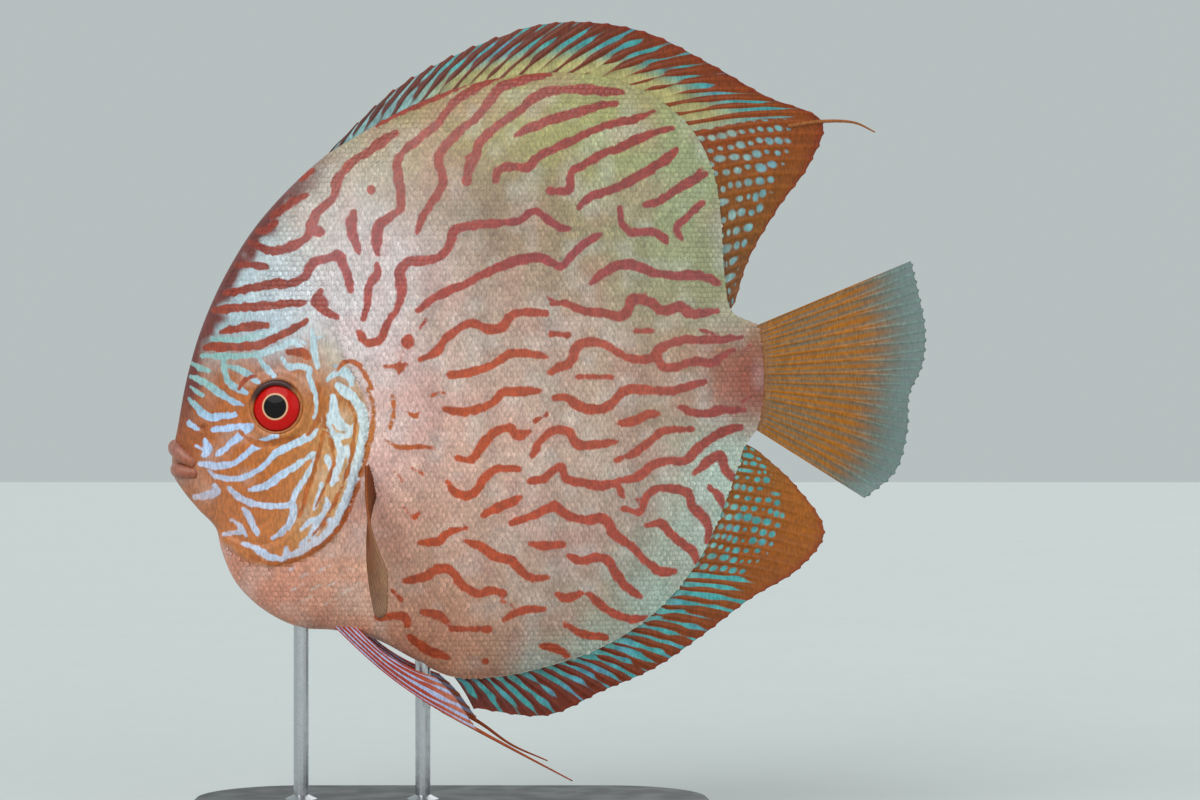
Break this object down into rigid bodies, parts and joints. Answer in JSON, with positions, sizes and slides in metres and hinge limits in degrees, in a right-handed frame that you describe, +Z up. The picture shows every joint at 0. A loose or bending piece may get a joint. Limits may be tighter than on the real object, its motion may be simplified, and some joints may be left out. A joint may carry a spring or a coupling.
{
  "type": "discus fish model",
  "caption": "Still life-size discus fish, deep round body with spread dorsal, anal, tail and paired fins, held in mid-water pose by two rods on a flat display base",
  "frame": {"origin": "centre of the bounding box's bottom face, on the underside of the stand's base", "axes": "+Z up along the model's height, +X from snout to tail, +Y towards the fish's right side; the fish's left side faces -Y"},
  "size_m": [0.161, 0.078, 0.1724],
  "materials": {
    "body_skin": "wet scaly skin, beige with brick red winding lines, pale green back",
    "head_skin": "smooth wet skin, orange with pale blue winding lines",
    "eye": "clear glossy eye, bright red iris, black pupil",
    "fin": "red-brown fin membrane with turquoise streaks along its rays",
    "clear_fin": "thin translucent fin membrane with ochre streaks along its rays",
    "pelvic_fin": "red-orange fin with pale blue lengthwise stripes",
    "stand_base": "satin dark plate",
    "stand_rod": "fine brushed steel"
  },
  "bodies": {
    "root": {"trunk": "body_skin", "head": "head_skin", "lower_jaw": "head_skin", "gill_cover_left": "head_skin", "gill_cover_right": "head_skin", "tail_stalk": "body_skin", "eye_left": "eye", "eye_right": "eye", "dorsal_fin": "fin", "anal_fin": "fin", "tail_fin": "clear_fin", "pectoral_fin_left": "clear_fin", "pectoral_fin_right": "clear_fin", "pelvic_fin_left": "pelvic_fin", "pelvic_fin_right": "pelvic_fin", "stand_base": "stand_base", "stand_rod_front": "stand_rod", "stand_rod_rear": "stand_rod"}
  },
  "joints": []
}
